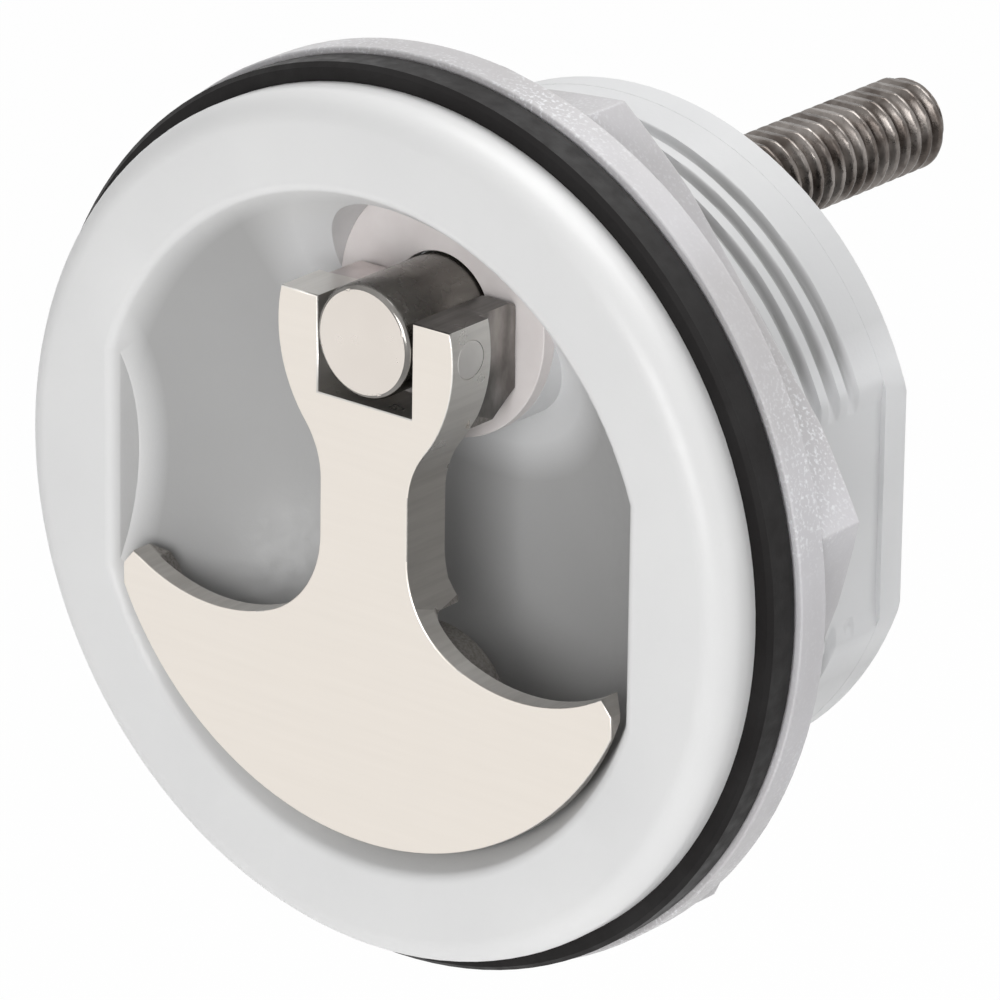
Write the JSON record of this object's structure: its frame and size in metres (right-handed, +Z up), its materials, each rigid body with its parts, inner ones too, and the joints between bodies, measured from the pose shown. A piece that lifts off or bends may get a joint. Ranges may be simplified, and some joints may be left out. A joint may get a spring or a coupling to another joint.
{
  "type": "compression latch",
  "caption": "Flush round compression latch: folding T handle in a recessed white housing, panel nut, gasket and threaded rod for a cam.",
  "frame": {"origin": "middle of the panel's face under the gasket, on the axis of the flange and the barrel", "axes": "-Y out of the panel towards the user, +Y into the panel along the rod, +Z up towards the handle's pivot, +X to the right seen from the front"},
  "size_m": [0.0804, 0.0763, 0.0804],
  "materials": {
    "white_plastic": "smooth satin",
    "wear_plastic": "matte",
    "nut_plastic": "translucent nylon",
    "black_rubber": "moulded rubber",
    "cast_steel": "polished front, rough cast back",
    "steel": "turned",
    "spring_steel": "drawn"
  },
  "bodies": {
    "housing": {"housing": "white_plastic", "wear_disc": "wear_plastic", "panel_gasket": "black_rubber", "panel_nut": "nut_plastic", "return_spring": "spring_steel"},
    "spring_seat": {"spring_seat": "spring_steel"},
    "spindle": {"spindle": "steel", "front_seal": "black_rubber", "rear_seal": "black_rubber", "retaining_clip": "spring_steel"},
    "handle": {"handle": "cast_steel", "pivot_pin": "steel"}
  },
  "joints": [
    {"name": "spindle_slide", "type": "slide", "parent": "housing", "child": "spring_seat", "axis": [0, 1, 0], "range_m": [0, 0.00464]},
    {"name": "spindle_turn", "type": "hinge", "parent": "spring_seat", "child": "spindle", "pos_m": [0, 0, 0.0173], "axis": [0, -1, 0], "range_deg": [0, 90.1]},
    {"name": "handle_lift", "type": "hinge", "parent": "spindle", "child": "handle", "pos_m": [0, -0.0054, 0.0173], "axis": [-1, 0, 0], "range_deg": [0, 90]}
  ],
  "couplings": [
    {"joint": "spindle_slide", "follows": "handle_lift", "m_per_rad": 0.0029476},
    {"joint": "spindle_turn", "follows": "handle_lift", "ratio": 1}
  ]
}
